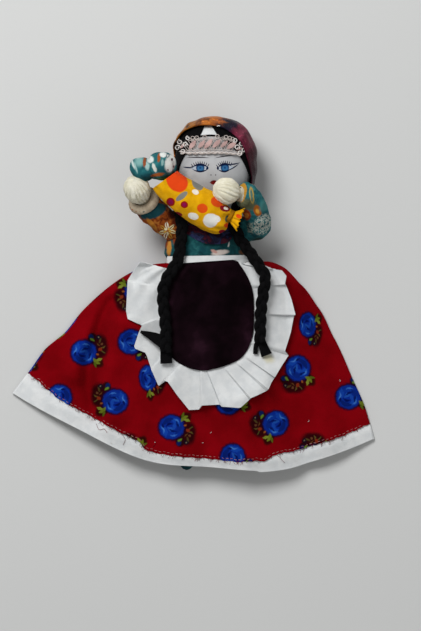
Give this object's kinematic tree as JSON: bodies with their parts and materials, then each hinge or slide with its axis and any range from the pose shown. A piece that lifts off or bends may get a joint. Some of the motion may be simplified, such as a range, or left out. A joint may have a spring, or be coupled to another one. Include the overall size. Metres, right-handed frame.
{
  "type": "cloth doll",
  "caption": "Stuffed cloth doll lying on its back in headscarf, blouse, full skirt and frilled apron, with braids and a swaddled baby held in its arms.",
  "frame": {"origin": "under the middle of the doll's outline, on the surface that its back lies on", "axes": "+X to the right of a viewer who faces the doll, +Y from the feet to the head, +Z out of the face, away from the surface"},
  "size_m": [0.2522, 0.2486, 0.0665],
  "materials": {
    "face_cloth": "matte white cotton",
    "black_cloth": "matte black jersey",
    "lace": "matte openwork lace",
    "satin": "satin with a woven print",
    "teal_print": "smooth printed cotton",
    "cream_cloth": "matte cream cotton",
    "yellow_print": "matte printed cotton",
    "red_print": "matte printed cotton",
    "white_cotton": "matte white cotton",
    "plum_velvet": "dark velvet",
    "thread": "matte sewing thread",
    "leg_cloth": "matte teal cotton"
  },
  "bodies": {
    "torso": {"torso": "face_cloth", "neck": "face_cloth", "bodice": "teal_print", "scarf_ends": "satin", "skirt_front": "red_print", "skirt_back": "red_print", "hem_band_front": "white_cotton", "hem_band_back": "white_cotton", "apron_panel": "plum_velvet", "apron_ruffle": "white_cotton", "apron_waistband": "white_cotton"},
    "head": {"head": "face_cloth", "hair_left": "black_cloth", "hair_right": "black_cloth", "lace_headband": "lace", "headscarf": "satin"},
    "left_arm": {"left_sleeve": "teal_print", "left_cuff": "cream_cloth", "left_wrist_tie": "thread", "left_hand": "cream_cloth"},
    "right_arm": {"right_sleeve": "teal_print", "right_cuff": "cream_cloth", "right_wrist_tie": "thread", "right_hand": "cream_cloth", "baby_head": "teal_print", "baby_bonnet_gather": "teal_print", "baby_swaddle": "yellow_print", "baby_swaddle_tie": "thread", "baby_swaddle_tail": "yellow_print"},
    "left_leg": {"left_leg": "leg_cloth", "left_foot": "leg_cloth"},
    "right_leg": {"right_leg": "leg_cloth", "right_foot": "leg_cloth"},
    "left_braid": {"braid_left": "black_cloth", "braid_left_tails": "black_cloth"},
    "right_braid": {"braid_right": "black_cloth", "braid_right_tails": "black_cloth"}
  },
  "joints": [
    {"name": "neck_tilt", "type": "hinge", "parent": "torso", "child": "head", "pos_m": [0.0136, 0.05905, 0.0243], "axis": [0, 0, 1], "range_deg": [-5, 5]},
    {"name": "right_shoulder", "type": "hinge", "parent": "torso", "child": "right_arm", "pos_m": [0.038, 0.04505, 0.0245], "axis": [1, 0, 0], "range_deg": [0, 20]},
    {"name": "left_shoulder", "type": "hinge", "parent": "torso", "child": "left_arm", "pos_m": [-0.012, 0.04505, 0.0245], "axis": [1, 0, 0], "range_deg": [0, 20]},
    {"name": "left_hip", "type": "hinge", "parent": "torso", "child": "left_leg", "pos_m": [0.0013, 0.01095, 0.013], "axis": [0, 0, 1], "range_deg": [-8, 4]},
    {"name": "right_hip", "type": "hinge", "parent": "torso", "child": "right_leg", "pos_m": [0.0203, 0.01095, 0.013], "axis": [0, 0, 1], "range_deg": [-4, 8]},
    {"name": "left_braid_swing", "type": "hinge", "parent": "head", "child": "left_braid", "pos_m": [-0.0128, 0.07855, 0.0267], "axis": [0, 0, 1], "range_deg": [-6, 0]},
    {"name": "right_braid_swing", "type": "hinge", "parent": "head", "child": "right_braid", "pos_m": [0.033, 0.06455, 0.0295], "axis": [0, 0, -1], "range_deg": [-10, 0]}
  ],
  "couplings": [
    {"joint": "left_shoulder", "follows": "right_shoulder", "ratio": 1}
  ]
}
